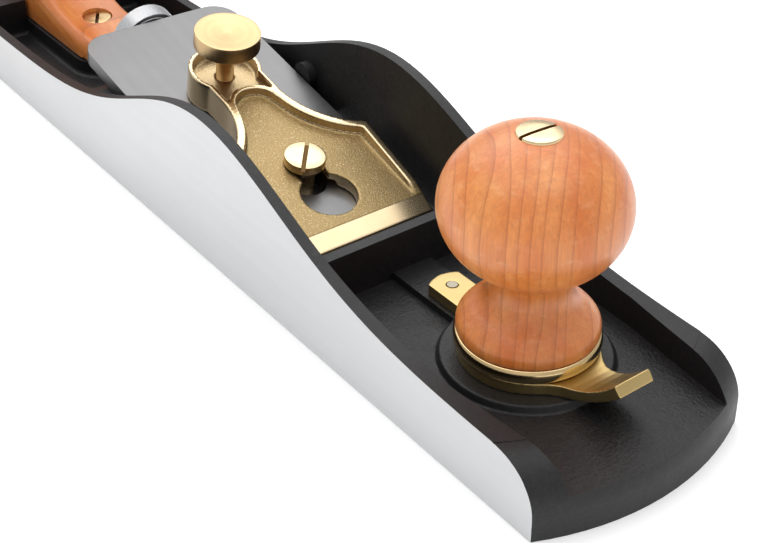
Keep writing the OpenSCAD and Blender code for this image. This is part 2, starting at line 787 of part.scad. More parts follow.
module handle_toe_screw() {
    color("#c9a24a") translate([tote_screw_x, 0, pad_h]) difference() {
        union() {
            disc(tote_shank_r, tote_screw_top - tote_head_t + pad_h - hole_bottom, hole_bottom - pad_h);
            disc(tote_head_r, tote_head_t, tote_screw_top - tote_head_t);
        }
        rotate([0, 0, 60]) driver_slot(tote_screw_top, 2 * tote_head_r + through);
    }
}

body_casting();
mouth_plate();
mouth_lever();
lever_pivot_pin();
knob_stud();
knob_ferrule();
front_knob();
knob_nut();
blade();
adjuster_stud();
adjuster_wheel();
lever_cap();
cap_thumbwheel();
thumbwheel_stem();
lever_cap_screw();
rear_handle();
handle_rod();
handle_nut();
handle_toe_screw();
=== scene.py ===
import math

import bmesh
import bpy
from mathutils import Matrix, Vector


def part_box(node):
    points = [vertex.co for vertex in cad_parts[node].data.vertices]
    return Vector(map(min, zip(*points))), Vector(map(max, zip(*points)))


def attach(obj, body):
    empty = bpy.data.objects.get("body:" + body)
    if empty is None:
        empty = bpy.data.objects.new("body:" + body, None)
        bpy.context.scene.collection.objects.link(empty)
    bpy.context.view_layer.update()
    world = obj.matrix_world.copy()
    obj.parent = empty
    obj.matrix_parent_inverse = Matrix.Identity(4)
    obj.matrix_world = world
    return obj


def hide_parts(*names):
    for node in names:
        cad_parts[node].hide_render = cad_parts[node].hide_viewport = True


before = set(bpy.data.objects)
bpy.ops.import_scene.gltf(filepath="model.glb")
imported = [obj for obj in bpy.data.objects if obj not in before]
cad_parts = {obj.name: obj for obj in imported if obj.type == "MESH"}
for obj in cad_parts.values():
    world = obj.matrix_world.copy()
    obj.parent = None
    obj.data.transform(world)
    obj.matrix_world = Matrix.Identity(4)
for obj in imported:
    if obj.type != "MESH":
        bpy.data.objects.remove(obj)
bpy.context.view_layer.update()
bpy.ops.object.select_all(action="DESELECT")

# ---------------------------------------------------------------- room
# A pale studio floor, a soft box behind the plane, one overhead and a weak fill.
# The camera looks down at the toe from the right-hand side of the plane.

scene = bpy.context.scene
scene.view_settings.view_transform = "Standard"

heading, fall, lean = math.radians(50.58), math.radians(28.86), math.radians(1.43)
right = Vector((math.cos(heading), math.sin(heading), 0))
near = Vector((math.sin(heading), -math.cos(heading), 0))
back = math.cos(fall) * near + math.sin(fall) * Vector((0, 0, 1))
over = -math.sin(fall) * near + math.cos(fall) * Vector((0, 0, 1))
across = math.cos(lean) * right + math.sin(lean) * over
upward = -math.sin(lean) * right + math.cos(lean) * over
aim = Matrix((across, upward, back)).transposed()
CAMERA_PLACE, LENS, SHIFT = (0.32766, -0.18626, 0.21732), 66.17, (-0.073, -0.1767)
bpy.ops.object.camera_add(location=CAMERA_PLACE, rotation=aim.to_euler())
camera = bpy.context.object
camera.data.sensor_width = 36
camera.data.lens = LENS
camera.data.shift_x, camera.data.shift_y = SHIFT
camera.data.clip_start = 0.01
scene.camera = camera

bpy.ops.mesh.primitive_grid_add(x_subdivisions=8, y_subdivisions=8, size=12, location=(0, 0, -0.0002))
floor = bpy.context.object
floor.name = "floor"
bpy.ops.object.transform_apply(location=True)


def soft_box(name, place, target, width, height, power):
    """An area light at a place, aimed at a target."""
    bpy.ops.object.light_add(type="AREA", location=place)
    light = bpy.context.object
    light.name = name
    light.rotation_euler = (Vector(target) - Vector(place)).to_track_quat("-Z", "Y").to_euler()
    light.data.shape = "RECTANGLE"
    light.data.size = width
    light.data.size_y = height
    light.data.energy = power


soft_box("back_box", (-0.75, 0.35, 0.85), (0.05, 0, 0.02), 1.2, 0.8, 3.6)
soft_box("top_box", (-0.1, 0.1, 1.1), (0.08, 0, 0), 1.7, 1.7, 11)
soft_box("fill_box", (0.9, -0.7, 0.5), (0.1, 0, 0.03), 0.8, 0.8, 0.4)


def add_node(tree, kind, feeds=None, **settings):
    """A new node with its settings made and its inputs set or linked."""
    made = tree.nodes.new(kind)
    for key, value in settings.items():
        setattr(made, key, value)
    for key, value in (feeds or {}).items():
        if isinstance(value, bpy.types.NodeSocket):
            tree.links.new(value, made.inputs[key])
        else:
            made.inputs[key].default_value = value
    return made


def new_material(name):
    """A node material, with its tree and its Principled shader."""
    material = bpy.data.materials.new(name)
    material.use_nodes = True
    tree = material.node_tree
    return material, tree, tree.nodes["Principled BSDF"]


def object_place(tree):
    """The place of a point in the object's own frame, in metres."""
    return add_node(tree, "ShaderNodeTexCoord").outputs["Object"]


def ramp(tree, value, low, high, to_low=0.0, to_high=1.0):
    """The value moved from the span low to high onto another span, and kept in it."""
    made = add_node(tree, "ShaderNodeMapRange", {
        "Value": value, "From Min": low, "From Max": high, "To Min": to_low, "To Max": to_high})
    return made.outputs["Result"]


def blend_colour(tree, share, first, second):
    """A mix of two colours, by a share from 0 to 1."""
    made = add_node(tree, "ShaderNodeMix", data_type="RGBA")
    for socket, value in ((made.inputs["Factor"], share), (made.inputs[6], first), (made.inputs[7], second)):
        if isinstance(value, bpy.types.NodeSocket):
            tree.links.new(value, socket)
        else:
            socket.default_value = value
    return made.outputs[2]


def noise(tree, place, scale, detail=2.0, rough=0.5):
    """Cloudy noise from 0 to 1, with a scale in lumps per metre."""
    made = add_node(tree, "ShaderNodeTexNoise", {
        "Vector": place, "Scale": scale, "Detail": detail, "Roughness": rough})
    return made.outputs["Fac"]


floor_paint, tree, shader = new_material("pale_floor")
speckle = noise(tree, object_place(tree), 60, 3)
pale = blend_colour(tree, speckle, (0.93, 0.93, 0.93, 1), (0.95, 0.95, 0.95, 1))
tree.links.new(pale, shader.inputs["Base Color"])
shader.inputs["Roughness"].default_value = 0.6
shader.inputs["Specular IOR Level"].default_value = 0.2
shader.inputs["Emission Color"].default_value = (1, 1, 1, 1)
shader.inputs["Emission Strength"].default_value = 0.2
floor.data.materials.append(floor_paint)

world = bpy.data.worlds.new("studio")
scene.world = world
world.use_nodes = True
sky = world.node_tree
direction = add_node(sky, "ShaderNodeTexCoord").outputs["Generated"]
height = add_node(sky, "ShaderNodeSeparateXYZ", {"Vector": direction}).outputs["Z"]
glow = ramp(sky, height, 0.0, 0.8, 0.6, 0.72)
backdrop = sky.nodes["Background"]
sky.links.new(glow, backdrop.inputs["Strength"])
backdrop.inputs["Color"].default_value = (1, 1, 1, 1)

# ---------------------------------------------------------------- body casting
# One grey-iron casting. Its sides, sole and bed are ground bright on a surface grinder, and the
# rest keeps its sand-cast skin under baked black enamel.

MM = 0.001
BED_ANGLE = math.radians(12)
MOUTH_X = 84 * MM
KNOB_X = 132.3 * MM
UP_BED = Vector((-math.cos(BED_ANGLE), 0, math.sin(BED_ANGLE)))
OFF_BED = Vector((math.sin(BED_ANGLE), 0, math.cos(BED_ANGLE)))


def pick(piece):
    """Selects one piece alone and makes it active."""
    bpy.ops.object.select_all(action="DESELECT")
    piece.select_set(True)
    bpy.context.view_layer.objects.active = piece


def cad_copy(name, node, flat=0.4):
    """A copy of a CAD piece with its loose triangles merged into whole faces."""
    piece = bpy.data.objects.new(name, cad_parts[node].data.copy())
    scene.collection.objects.link(piece)
    piece.data.materials.clear()
    pick(piece)
    bpy.ops.object.mode_set(mode="EDIT")
    bpy.ops.mesh.select_all(action="SELECT")
    bpy.ops.mesh.remove_doubles(threshold=2e-6)
    bpy.ops.mesh.dissolve_limited(angle_limit=math.radians(flat))
    bpy.ops.object.mode_set(mode="OBJECT")
    return piece


def finish_edges(piece, width, sharp=30):
    """Breaks the piece's sharp edges, then shades it smooth up to an angle."""
    pick(piece)
    bevel = piece.modifiers.new("edges", "BEVEL")
    bevel.width = width
    bevel.segments = 2
    bevel.limit_method = "ANGLE"
    bevel.angle_limit = math.radians(sharp)
    bevel.use_clamp_overlap = True
    bpy.ops.object.modifier_apply(modifier="edges")
    bpy.ops.object.shade_smooth_by_angle(angle=math.radians(32))
    level = piece.modifiers.new("level", "WEIGHTED_NORMAL")
    level.keep_sharp = True
    level.weight = 100
    bpy.ops.object.modifier_apply(modifier="level")


def fit(piece, body, slot, *nodes):
    """Lets the piece ride on its body and stand for its CAD nodes."""
    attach(piece, body)
    if nodes:
        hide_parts(*nodes)


def linear(code):
    """The linear colour of a hex colour code."""
    parts = [int(code[i:i + 2], 16) / 255 for i in (1, 3, 5)]
    return tuple(c / 12.92 if c <= 0.04045 else ((c + 0.055) / 1.055) ** 2.4 for c in parts) + (1,)


def new_group(name, takes, gives):
    """A shader node group with named sockets, each given as a name and a kind."""
    tree = bpy.data.node_groups.new(name, "ShaderNodeTree")
    for label, kind, value in takes:
        socket = tree.interface.new_socket(label, in_out="INPUT", socket_type="NodeSocket" + kind)
        if value is not None:
            socket.default_value = value
    for label, kind in gives:
        tree.interface.new_socket(label, in_out="OUTPUT", socket_type="NodeSocket" + kind)
    return tree, tree.nodes.new("NodeGroupInput").outputs, tree.nodes.new("NodeGroupOutput")


def use_group(tree, group, feeds):
    """A node that uses a shader node group."""
    return add_node(tree, "ShaderNodeGroup", feeds, node_tree=group)


def maths(tree, operation, a, b=0.0):
    """One sum on two values."""
    return add_node(tree, "ShaderNodeMath", {0: a, 1: b}, operation=operation).outputs[0]


def stretched(tree, place, scale, turn=(0, 0, 0)):
    """The place, scaled along each axis and then turned."""
    made = add_node(tree, "ShaderNodeMapping", {"Vector": place, "Scale": scale, "Rotation": turn})
    return made.outputs["Vector"]


def vectors(tree, operation, a, b):
    """One sum on two vectors."""
    return add_node(tree, "ShaderNodeVectorMath", {0: a, 1: b}, operation=operation).outputs["Vector"]


def raise_bump(tree, shader, height, depth):
    """Feeds the shader's normal from a height, whose full range stands for a depth in metres."""
    made = add_node(tree, "ShaderNodeBump", {"Height": height, "Distance": depth, "Strength": 1.0})
    tree.links.new(made.outputs["Normal"], shader.inputs["Normal"])


smudges, takes, gives = new_group(
    "handling_marks", [("Vector", "Vector", None), ("Amount", "Float", 0.05)], [("Roughness", "Float")])
broad = noise(smudges, takes["Vector"], 45, 3)
fine = noise(smudges, takes["Vector"], 260, 4)
both = maths(smudges, "ADD", maths(smudges, "MULTIPLY", broad, 1.4), maths(smudges, "MULTIPLY", fine, 0.6))
centred = maths(smudges, "SUBTRACT", both, 1.0)
smudges.links.new(maths(smudges, "MULTIPLY", centred, takes["Amount"]), gives.inputs["Roughness"])

grinding, takes, gives = new_group(
    "grinding_lines",
    [("Vector", "Vector", None), ("Along", "Vector", (20, 3000, 3000))],
    [("Height", "Float"), ("Shade", "Float")])
fitted = vectors(grinding, "MULTIPLY", takes["Vector"], takes["Along"])
wide = vectors(grinding, "MULTIPLY", fitted, (0.2, 0.2, 0.2))
grinding.links.new(noise(grinding, fitted, 1, 3, 0.6), gives.inputs["Height"])
grinding.links.new(noise(grinding, wide, 1, 2), gives.inputs["Shade"])

sand, takes, gives = new_group(
    "sand_cast",
    [("Vector", "Vector", None), ("Grains per metre", "Float", 2200.0), ("Coarse", "Float", 0.5)],
    [("Height", "Float"), ("Glint", "Float")])
grain = noise(sand, takes["Vector"], takes["Grains per metre"], 3, 0.65)
lumps = noise(sand, takes["Vector"], maths(sand, "MULTIPLY", takes["Grains per metre"], 0.22), 2)
pit_scale = maths(sand, "MULTIPLY", takes["Grains per metre"], 0.7)
cells = add_node(sand, "ShaderNodeTexVoronoi", {"Vector": takes["Vector"], "Scale": pit_scale})
pits = cells.outputs["Distance"]
mixed = maths(sand, "ADD", grain, maths(sand, "MULTIPLY", lumps, takes["Coarse"]))
sand.links.new(maths(sand, "ADD", mixed, maths(sand, "MULTIPLY", pits, 0.35)), gives.inputs["Height"])
sand.links.new(ramp(sand, grain, 0.56, 0.72), gives.inputs["Glint"])

enamel, tree, shader = new_material("black_enamel")
place = object_place(tree)
skin = use_group(tree, sand, {"Vector": place, "Grains per metre": 1500.0, "Coarse": 1.0})
facing = add_node(tree, "ShaderNodeNewGeometry").outputs["Normal"]
level = add_node(tree, "ShaderNodeSeparateXYZ", {"Vector": facing}).outputs["Z"]
depth = add_node(tree, "ShaderNodeSeparateXYZ", {"Vector": place}).outputs["Z"]
on_floor = maths(tree, "MULTIPLY", ramp(tree, level, 0.5, 0.95), ramp(tree, depth, 0.0128, 0.0112))
dust = ramp(tree, noise(tree, place, 900, 4, 0.7), 0.45, 0.8)
tree.links.new(blend_colour(tree, dust, linear("#141416"), linear("#222224")), shader.inputs["Base Color"])
marks = use_group(tree, smudges, {"Vector": place, "Amount": 0.12})
baked = ramp(tree, on_floor, 0, 1, 0.5, 0.47)
tree.links.new(maths(tree, "ADD", marks.outputs[0], baked), shader.inputs["Roughness"])
grit = maths(tree, "MULTIPLY", skin.outputs["Height"], ramp(tree, on_floor, 0, 1, 0.35, 1.0))
raise_bump(tree, shader, grit, 0.00016)
shader.inputs["Specular IOR Level"].default_value = 0.42


def machined(name, along, dark, light, rough, marks_amount=0.08, depth=0.00001, turn=(0, 0, 0)):
    """Bare metal with fine machining lines, as many to the metre along each axis as given."""
    material, tree, shader = new_material(name)
    place = stretched(tree, object_place(tree), (1, 1, 1), turn)
    lines = use_group(tree, grinding, {"Vector": place, "Along": along})
    colour = blend_colour(tree, lines.outputs["Shade"], linear(dark), linear(light))
    tree.links.new(colour, shader.inputs["Base Color"])
    marks = use_group(tree, smudges, {"Vector": place, "Amount": marks_amount})
    tree.links.new(maths(tree, "ADD", marks.outputs[0], rough), shader.inputs["Roughness"])
    raise_bump(tree, shader, lines.outputs["Height"], depth)
    shader.inputs["Metallic"].default_value = 1.0
    return material


ground_iron = machined("ground_iron", (60, 2600, 2600), "#c6c7c9", "#cccdce", 0.36, depth=0.000012)


def round_corners(piece, radius, steps, chosen):
    """Rounds the edges whose two ends, as points in millimetres, and convexity are chosen."""
    pick(piece)
    bpy.ops.object.mode_set(mode="EDIT")
    bpy.ops.mesh.select_all(action="DESELECT")
    shape = bmesh.from_edit_mesh(piece.data)
    shape.normal_update()
    for edge in shape.edges:
        if len(edge.link_faces) == 2 and edge.calc_face_angle() > math.radians(35):
            ends = [vertex.co / MM for vertex in edge.verts]
            edge.select = chosen(ends[0], ends[1], edge.is_convex)
    bmesh.update_edit_mesh(piece.data)
    bpy.ops.mesh.bevel(offset=radius, segments=steps, affect="EDGES", clamp_overlap=True)
    bpy.ops.object.mode_set(mode="OBJECT")


FLOOR_Z, REAR_FLOOR_Z, CROSS_RIB_X, HALF_WIDTH = 10.0, 5.0, 88.3, 31.75
KNOB_AXIS, PLATFORM_R = Vector((KNOB_X / MM, 0, 0)), 21.6


def tray_corner(a, b, convex):
    """Where the toe tray's walls meet its floor and its cross rib."""
    off_platform = abs((a.xy - KNOB_AXIS.xy).length - PLATFORM_R) > 0.5
    on_floor = abs(a.z - FLOOR_Z) < 0.05 and abs(b.z - FLOOR_Z) < 0.05 and off_platform
    upright = abs(a.x - b.x) < 0.05 and abs(a.y - b.y) < 0.05 and abs(a.x - CROSS_RIB_X) < 0.2
    walls = abs(a.y) > 22 and abs(b.y) > 22
    return not convex and ((on_floor and (walls or min(a.x, b.x) < 89)) or (upright and walls))


def platform_edge(a, b, convex):
    """The top and the foot of the round platform under the mouth lever."""
    on_edge = all(20 < (p.xy - KNOB_AXIS.xy).length < 22 and 9.9 < p.z < 12.1 for p in (a, b))
    return on_edge and abs(a.z - b.z) < 0.1


def rear_corner(a, b, convex):
    """Where the walls meet the floor beside the handle."""
    low = abs(a.z - REAR_FLOOR_Z) < 0.05 and abs(b.z - REAR_FLOOR_Z) < 0.05
    return low and not convex and a.x < -32 and b.x < -32


def inner_rim(a, b, convex):
    """The long inner edges of the rims and cheeks."""
    inside = all(23.5 < abs(p.y) < HALF_WIDTH - 1 and p.z > 15 for p in (a, b))
    return inside and convex and abs(a.x - b.x) > 0.5


def outer_edge(a, b, convex):
    """The long outer edges, above the sole."""
    return all(abs(p.y) > HALF_WIDTH - 0.05 for p in (a, b)) and convex and min(a.z, b.z) > 1


casting = cad_copy("body_shell", "body_casting")
round_corners(casting, 0.55 * MM, 3, platform_edge)
round_corners(casting, 2.2 * MM, 4, tray_corner)
round_corners(casting, 1.6 * MM, 3, rear_corner)
round_corners(casting, 0.9 * MM, 4, inner_rim)
round_corners(casting, 0.18 * MM, 1, outer_edge)
finish_edges(casting, 0.3 * MM, 32)
casting.data.materials.append(enamel)
casting.data.materials.append(ground_iron)
for face in casting.data.polygons:
    middle, out = face.center / MM, face.normal
    side = abs(out.y) > 0.3 and abs(out.x) < 0.42 and abs(middle.y) > HALF_WIDTH - 0.2
    sole = out.z < -0.98 and middle.z < 0.2
    bed = out.dot(OFF_BED) > 0.999 and middle.x < MOUTH_X / MM and middle.z < 22.2
    face.material_index = 1 if side or sole or bed else 0
fit(casting, "casting", "painted_casting", "body_casting")

# ---------------------------------------------------------------- mouth plate
# The front of the sole, a ground iron plate that slides to open and close the mouth.
# Its round post rises through the casting to the knob's stud.

plate = cad_copy("toe_plate", "mouth_plate")
finish_edges(plate, 0.2 * MM)
plate.data.materials.append(ground_iron)
fit(plate, "mouth_slider", "ground_iron", "mouth_plate")

# ---------------------------------------------------------------- pivot pin
# A plain steel pin pressed into the casting, on which the mouth lever swings.

steel = machined("turned_steel", (900, 900, 900), "#968f7e", "#a69f8c", 0.3, 0.1)

pin = cad_copy("pivot_pin", "lever_pivot_pin", 0.1)
finish_edges(pin, 0.15 * MM)
pin.data.materials.append(steel)
fit(pin, "casting", "bright_steel", "lever_pivot_pin")

# ---------------------------------------------------------------- mouth lever
# A cast brass lever under the knob, milled flat on top, with a finger that curls up at the toe.
# Its cam slot moves the mouth plate's stud forward and back.

brass = machined("milled_brass", (420, 420, 420), "#bca168", "#d2ba86", 0.36, 0.1)


def cast_copy(name, node, voxel, rounds):
    """A copy of a CAD piece with every corner softened, as a casting has."""
    piece = cad_copy(name, node)
    skin = piece.modifiers.new("skin", "REMESH")
    skin.mode = "VOXEL"
    skin.voxel_size = voxel
    skin.use_smooth_shade = True
    soft = piece.modifiers.new("soft", "SMOOTH")
    soft.factor = 0.5
    soft.iterations = rounds
    bpy.ops.object.modifier_apply(modifier="skin")
    bpy.ops.object.modifier_apply(modifier="soft")
    return piece


lever = cast_copy("eccentric_lever", "mouth_lever", 0.25 * MM, 6)
lever.data.materials.append(brass)
fit(lever, "mouth_lever", "brass", "mouth_lever")

# ---------------------------------------------------------------- knob ferrule
# A turned brass ring with a beaded rim, between the lever and the knob's foot.


def turned(name, outline, steps=96, smooth=30):
    """A piece turned about the Z axis from an outline of radius and height, in millimetres."""
    bpy.ops.object.select_all(action="DESELECT")
    bpy.ops.mesh.primitive_plane_add(size=1 * MM, location=(0, 0, 0))
    piece = bpy.context.object
    piece.name = name
    bpy.ops.object.mode_set(mode="EDIT")
    bpy.ops.mesh.merge(type="CENTER")
    start = Vector((outline[0][0], 0, outline[0][1])) * MM
    bpy.ops.transform.translate(value=start)
    for (r0, z0), (r1, z1) in zip(outline, outline[1:]):
        step = ((r1 - r0) * MM, 0, (z1 - z0) * MM)
        bpy.ops.mesh.extrude_region_move(TRANSFORM_OT_translate={"value": step})
    bpy.ops.mesh.select_all(action="SELECT")
    bpy.ops.mesh.spin(steps=steps, angle=math.tau, center=(0, 0, 0), axis=(0, 0, 1))
    bpy.ops.mesh.select_all(action="SELECT")
    bpy.ops.mesh.remove_doubles(threshold=1e-6)
    bpy.ops.mesh.normals_make_consistent(inside=False)
    bpy.ops.object.mode_set(mode="OBJECT")
    bpy.ops.object.shade_smooth_by_angle(angle=math.radians(smooth))
    return piece


def put(piece, place, turn=(0, 0, 0)):
    """Moves and turns a piece about the origin, and keeps its place in its mesh."""
    pick(piece)
    piece.location = place
    piece.rotation_euler = turn
    bpy.ops.object.transform_apply(location=True, rotation=True, scale=True)


rings, takes, gives = new_group(
    "lathe_rings", [("Vector", "Vector", None), ("Rings per metre", "Float", 2500.0)],
    [("Height", "Float"), ("Shade", "Float")])
axis = add_node(rings, "ShaderNodeSeparateXYZ", {"Vector": takes["Vector"]})
flat = add_node(rings, "ShaderNodeCombineXYZ", {"X": axis.outputs["X"], "Y": axis.outputs["Y"]})
radius = add_node(rings, "ShaderNodeVectorMath", {0: flat.outputs["Vector"]}, operation="LENGTH")
unrolled = add_node(
    rings, "ShaderNodeCombineXYZ", {"X": radius.outputs["Value"], "Z": axis.outputs["Z"]}).outputs["Vector"]
bands = maths(rings, "MULTIPLY", takes["Rings per metre"], 0.25)
rings.links.new(noise(rings, unrolled, takes["Rings per metre"], 3, 0.6), gives.inputs["Height"])
rings.links.new(noise(rings, unrolled, bands, 2), gives.inputs["Shade"])


def lathe_brass(name, centre, turn, light="#dfc596", dark="#cbae7c", rough=0.28, depth=0.00002):
    """Turned brass, with fine tool rings about the piece's own axis, and a dark painted shade on the walls of
    a sawn slot.
    """
    material, tree, shader = new_material(name)
    place = object_place(tree)
    about = vectors(tree, "SUBTRACT", place, centre)
    local = stretched(tree, about, (1, 1, 1), turn)
    lines = use_group(tree, rings, {"Vector": local, "Rings per metre": 2600.0})
    clean = blend_colour(tree, lines.outputs["Shade"], linear(dark), linear(light))
    # The walls of a sawn slot, marked by the slot attribute, are tinted dark brown: painted shade in the
    # slot.
    slot_painted_shade = add_node(tree, "ShaderNodeAttribute", attribute_name="slot").outputs["Fac"]
    tree.links.new(blend_colour(tree, slot_painted_shade, clean, linear("#4d3a1e")), shader.inputs["Base Color"])
    marks = use_group(tree, smudges, {"Vector": place, "Amount": 0.08})
    tree.links.new(maths(tree, "ADD", marks.outputs[0], rough), shader.inputs["Roughness"])
    raise_bump(tree, shader, lines.outputs["Height"], depth)
    spindle = Matrix.Rotation(-turn[1], 3, "Y") @ Vector((0, 0, 1))
    tree.links.new(vectors(tree, "CROSS_PRODUCT", tuple(spindle), about), shader.inputs["Tangent"])
    shader.inputs["Anisotropic"].default_value = 0.65
    shader.inputs["Metallic"].default_value = 1.0
    return material


ferrule_low, ferrule_high = (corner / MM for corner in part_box("knob_ferrule"))
FERRULE_Z0, FERRULE_Z1 = ferrule_low.z, ferrule_high.z
FERRULE_R, FERRULE_BORE, BEAD_DEPTH, BEAD_BLUNT = 17.5, 3.05, 1.5, 0.6
BEAD = (FERRULE_Z1 - FERRULE_Z0) / 2
outline = [(FERRULE_BORE, FERRULE_Z0)]
for i in range(19):
    a = math.radians(-90 + 180 * i / 18)
    swell = BEAD_DEPTH * max(math.cos(a), 0) ** BEAD_BLUNT
    outline.append((FERRULE_R - BEAD_DEPTH + swell, FERRULE_Z0 + BEAD + BEAD * math.sin(a)))
outline += [(FERRULE_BORE, FERRULE_Z1), (FERRULE_BORE, FERRULE_Z0)]
ferrule = turned("ferrule_ring", outline, 128)
put(ferrule, (KNOB_X, 0, 0))
ferrule.data.materials.append(lathe_brass("ferrule_brass", (KNOB_X, 0, 0), (0, 0, 0), rough=0.2))
fit(ferrule, "knob_lift", "brass", "knob_ferrule")

# ---------------------------------------------------------------- front knob
# Black cherry, turned between centres with the grain running up through the ball, sanded and
# oiled. A sunk brass nut holds it down.

cherry, takes, gives = new_group(
    "cherry_grain", [("Vector", "Vector", None)],
    [("Color", "Color"), ("Height", "Float"), ("Roughness", "Float")])


def drawn_out(scale, lumps, detail, rough=0.5):
    """Noise in the wood, drawn out or squeezed along the grain."""
    return noise(cherry, stretched(cherry, takes["Vector"], scale), lumps, detail, rough)


wander = drawn_out((1, 1, 0.25), 38, 3)
board = add_node(cherry, "ShaderNodeSeparateXYZ", {"Vector": takes["Vector"]})
spread = drawn_out((1, 0.15, 0.03), 170, 1)
cross = maths(cherry, "ADD", board.outputs["X"], maths(cherry, "MULTIPLY", spread, 0.007))
squared = maths(cherry, "POWER", maths(cherry, "ABSOLUTE", board.outputs["Y"]), 2.0)
bowed = maths(cherry, "MULTIPLY", squared, 4.0)
ring_place = add_node(cherry, "ShaderNodeCombineXYZ", {
    "X": maths(cherry, "ADD", cross, bowed), "Z": maths(cherry, "MULTIPLY", board.outputs["Z"], 0.04)})
growth = add_node(cherry, "ShaderNodeTexWave", {
    "Vector": ring_place.outputs["Vector"], "Scale": 92.0, "Distortion": 1.0,
    "Detail": 2.0, "Detail Scale": 0.5, "Detail Roughness": 0.6}, bands_direction="X", wave_profile="SAW")
late = maths(cherry, "POWER", growth.outputs["Fac"], 7.0)
broad = drawn_out((1, 1, 0.18), 120, 4, 0.6)
fibre = drawn_out((1, 1, 0.035), 1500, 4, 0.6)
pores = ramp(cherry, drawn_out((1, 1, 0.06), 2600, 2), 0.66, 0.78)
flecks = ramp(cherry, drawn_out((0.8, 0.8, 1.6), 330, 3), 0.58, 0.75)
colour = blend_colour(cherry, ramp(cherry, broad, 0.3, 0.7), linear("#d66c1c"), linear("#ee9d55"))
for share, tint in (
        (maths(cherry, "MULTIPLY", ramp(cherry, wander, 0.45, 0.75), 0.6), "#c46a30"),
        (maths(cherry, "MULTIPLY", late, 0.6), "#a04a14"),
        (ramp(cherry, fibre, 0.35, 0.7, 0.3, 0.0), "#a05a34"),
        (maths(cherry, "MULTIPLY", flecks, 0.22), "#f0bb8d"),
        (maths(cherry, "MULTIPLY", pores, 0.5), "#7a3c20")):
    colour = blend_colour(cherry, share, colour, linear(tint))
cherry.links.new(colour, gives.inputs["Color"])
raised = maths(cherry, "SUBTRACT", maths(cherry, "MULTIPLY", fibre, 0.5), pores)
cherry.links.new(raised, gives.inputs["Height"])
cherry.links.new(ramp(cherry, broad, 0.2, 0.8, 0.42, 0.36), gives.inputs["Roughness"])


def cherry_finish(name, centre, turn):
    """Oiled cherry, with its grain along the piece's own Z axis."""
    material, tree, shader = new_material(name)
    about = vectors(tree, "SUBTRACT", object_place(tree), centre)
    wood = use_group(tree, cherry, {"Vector": stretched(tree, about, (1, 1, 1), turn)})
    tree.links.new(wood.outputs["Color"], shader.inputs["Base Color"])
    tree.links.new(wood.outputs["Roughness"], shader.inputs["Roughness"])
    raise_bump(tree, shader, wood.outputs["Height"], 0.00003)
    shader.inputs["Coat Weight"].default_value = 0.4
    shader.inputs["Coat Roughness"].default_value = 0.3
    return material


KNOB_Z0, BALL_Z, BALL_R, BALL_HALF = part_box("front_knob")[0].z / MM, 51.9, 22.1, 18.2
WAIST_R, FOOT_R, NUT_R, COVE = 9.5, 16.9, 5.3, 4.0
low_a = -math.acos((WAIST_R + COVE) / BALL_R)
ball_low = Vector((BALL_R * math.cos(low_a), BALL_Z + BALL_HALF * math.sin(low_a)))
cove_corner = Vector((WAIST_R, ball_low.y + COVE * BALL_HALF * math.cos(low_a) / (BALL_R * math.sin(low_a))))
cove_start = cove_corner - Vector((0, 0.6 * COVE))
crown_a = math.acos(NUT_R / BALL_R)
crown_z = BALL_Z + BALL_HALF * math.sin(crown_a)
FOOT = [
    (0.96, 0), (1, 0.04), (1, 0.15), (0.95, 0.235), (0.8, 0.335), (0.6, 0.43), (0.39, 0.51), (0.22, 0.61),
    (0.08, 0.75), (0.01, 0.9)]
STUD_HOLE_R, NUT_HOLE_R, NUT_HOLE_L, NUT_CUP = 3.3, 4.6, 21, 0.9


def curve_through(points, steps):
    """A smooth line through the points."""
    line = []
    for i in range(len(points) - 1):
        p0, p1, p2, p3 = (Vector(points[min(max(j, 0), len(points) - 1)]) for j in range(i - 1, i + 3))
        for k in range(steps):
            t = k / steps
            line.append(0.5 * (2 * p1 + (p2 - p0) * t + (2 * p0 - 5 * p1 + 4 * p2 - p3) * t ** 2
                               + (3 * p1 - p0 - 3 * p2 + p3) * t ** 3))
    return line + [Vector(points[-1])]


outline = [(STUD_HOLE_R, KNOB_Z0)]
for share, rise in curve_through(FOOT, 4):
    outline.append((WAIST_R + (FOOT_R - WAIST_R) * share, KNOB_Z0 + (cove_start.y - KNOB_Z0) * rise))
for i in range(12):
    t = i / 12
    outline.append(tuple((1 - t) ** 2 * cove_start + 2 * t * (1 - t) * cove_corner + t * t * ball_low))
for i in range(65):
    a = low_a + (crown_a - low_a) * i / 64
    outline.append((BALL_R * math.cos(a), BALL_Z + BALL_HALF * math.sin(a)))
outline += [(NUT_R + 0.12, crown_z - 0.1), (NUT_R + 0.1, crown_z - NUT_CUP), (NUT_HOLE_R, crown_z - NUT_CUP)]
outline += [(NUT_HOLE_R, crown_z - NUT_HOLE_L), (STUD_HOLE_R, crown_z - NUT_HOLE_L), (STUD_HOLE_R, KNOB_Z0)]
knob = turned("turned_knob", outline, 144, 40)
put(knob, (KNOB_X, 0, 0))
knob.data.materials.append(cherry_finish("knob_cherry", (KNOB_X, 0, 0), (0, 0, math.radians(-51))))
fit(knob, "knob", "cherry", "front_knob")

# ---------------------------------------------------------------- slotted brass fasteners
# Four turned and slotted brass fasteners: the knob's nut, the lever cap's screw, the handle's
# nut and its toe screw. Each is turned, faced, and slotted with a slitting saw.


def cut_with(piece, tool, operation="DIFFERENCE"):
    """Cuts the piece with a tool, then throws the tool away."""
    pick(piece)
    cut = piece.modifiers.new("cut", "BOOLEAN")
    cut.object = tool
    cut.operation = operation
    cut.solver = "EXACT"
    bpy.ops.object.modifier_apply(modifier="cut")
    bpy.data.objects.remove(tool)


